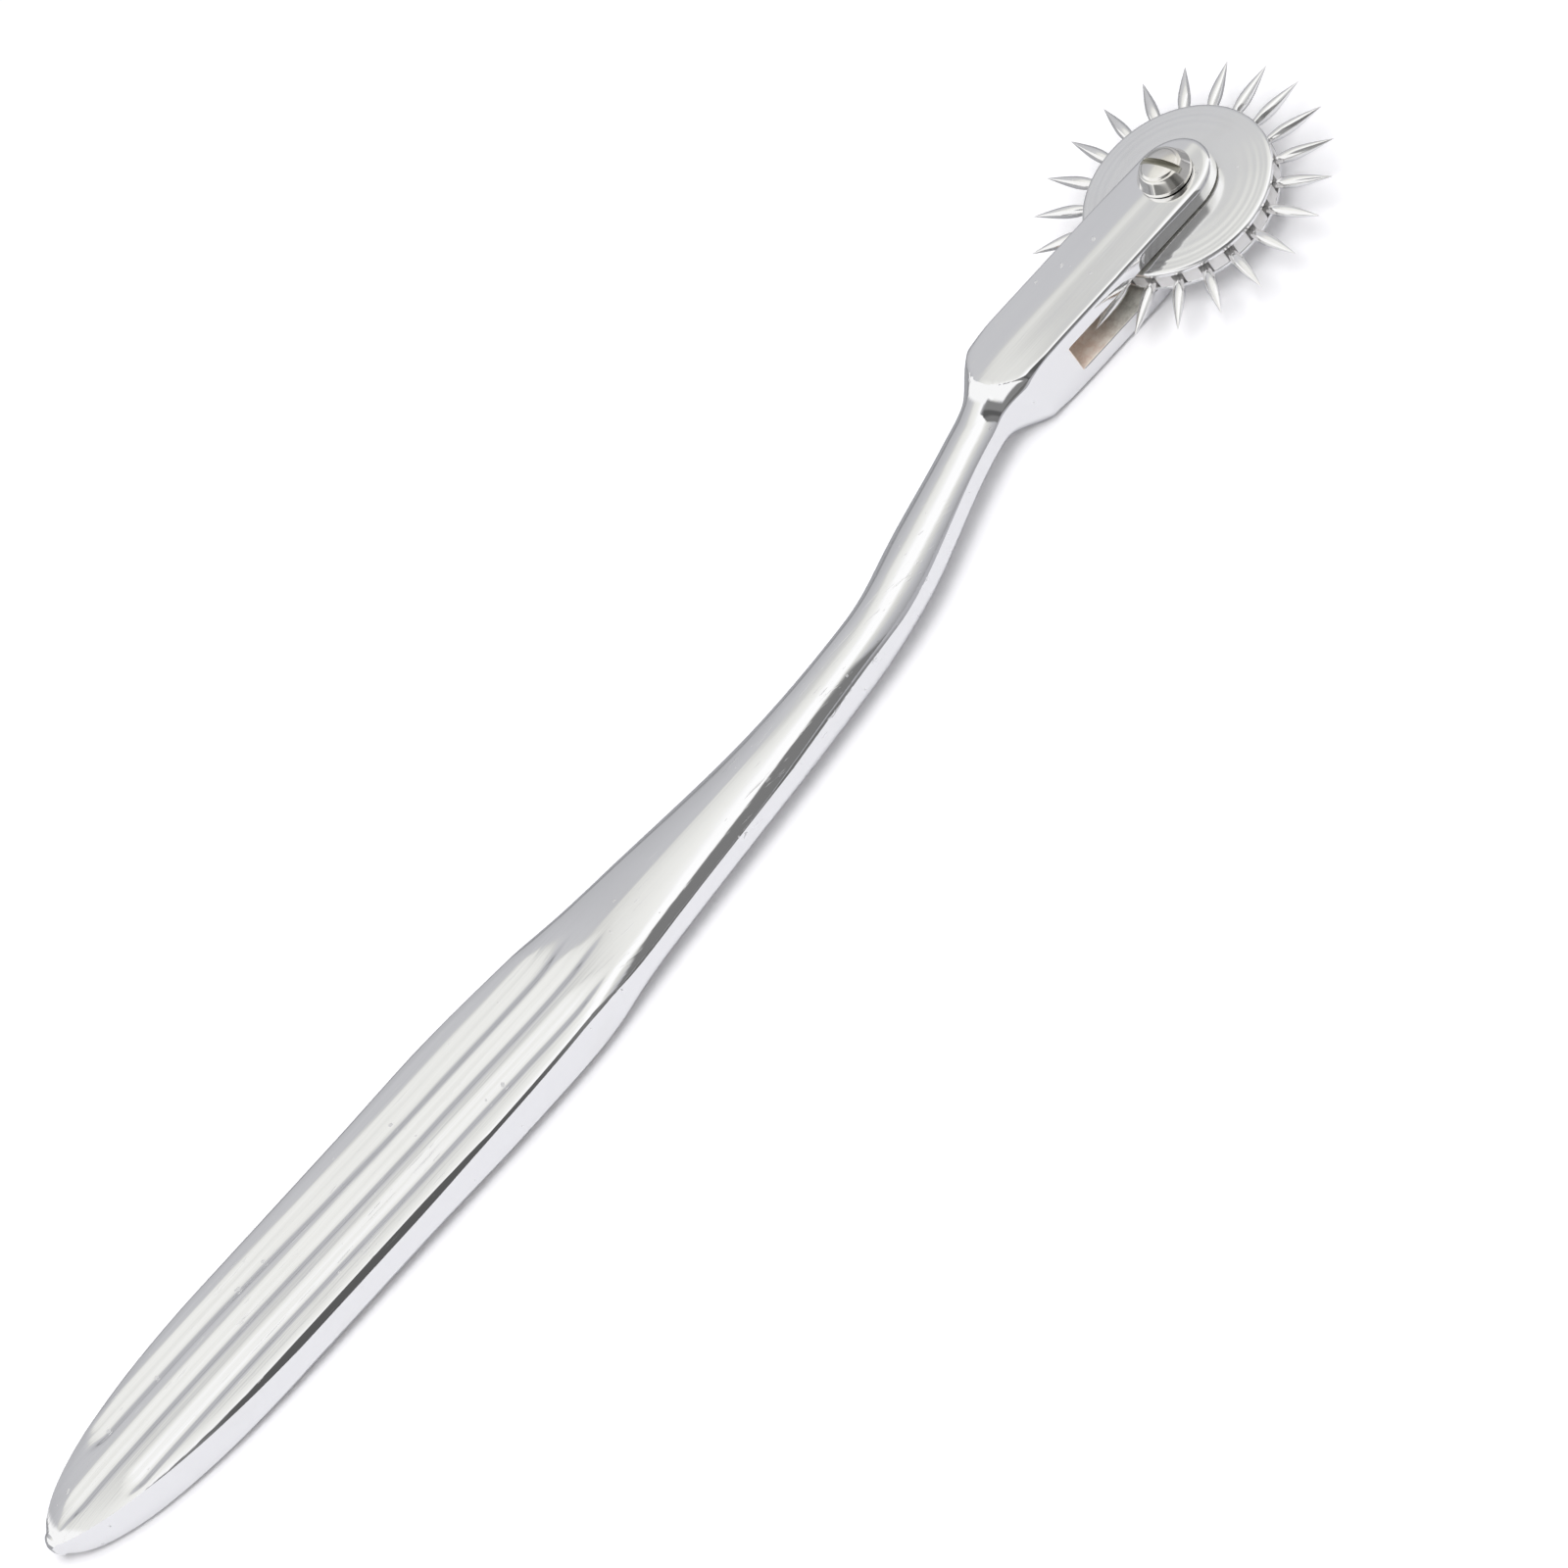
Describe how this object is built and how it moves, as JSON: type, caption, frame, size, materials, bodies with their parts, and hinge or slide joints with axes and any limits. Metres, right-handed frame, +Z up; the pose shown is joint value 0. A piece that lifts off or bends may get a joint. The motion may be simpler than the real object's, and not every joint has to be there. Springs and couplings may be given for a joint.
{
  "type": "neurological pinwheel",
  "caption": "Neurological pinwheel: a wheel of sharp pins that turns freely in the forked end of a bent steel handle with a flat fluted grip, rolled over skin to test sensation.",
  "frame": {"origin": "middle of the bounding box in plan, on the plane of the fork's underside, which is the part's lowest face", "axes": "+X along the handle towards the wheel, +Z up along the wheel's axle towards the screw's head, +Y towards the side to which the shank bends"},
  "size_m": [0.18, 0.0332, 0.0095],
  "materials": {
    "polished_steel": "mirror-polished nickel-plated steel forging, with faint waves in the reflections",
    "screw_steel": "bright turned steel, slightly warmer than the handle",
    "disc_steel": "polished disc with a bright rounded rim",
    "ring_steel": "milled grey ring, dull and darker in its slots",
    "pin_steel": "bright turned spindles, ground to a point"
  },
  "bodies": {
    "handle": {"forged_handle": "polished_steel", "axle_screw": "screw_steel"},
    "wheel": {"wheel_front_disc": "disc_steel", "pin_ring": "ring_steel", "wheel_rear_disc": "disc_steel", "axle_bush": "screw_steel", "pin_01": "pin_steel", "pin_02": "pin_steel", "pin_03": "pin_steel", "pin_04": "pin_steel", "pin_05": "pin_steel", "pin_06": "pin_steel", "pin_07": "pin_steel", "pin_08": "pin_steel", "pin_09": "pin_steel", "pin_10": "pin_steel", "pin_11": "pin_steel", "pin_12": "pin_steel", "pin_13": "pin_steel", "pin_14": "pin_steel", "pin_15": "pin_steel", "pin_16": "pin_steel", "pin_17": "pin_steel", "pin_18": "pin_steel", "pin_19": "pin_steel", "pin_20": "pin_steel", "pin_21": "pin_steel", "pin_22": "pin_steel"}
  },
  "joints": [
    {"name": "wheel_spin", "type": "hinge", "parent": "handle", "child": "wheel", "pos_m": [0.07432, 0.0009, 0.0037], "axis": [0, 0, 1], "continuous": true}
  ]
}
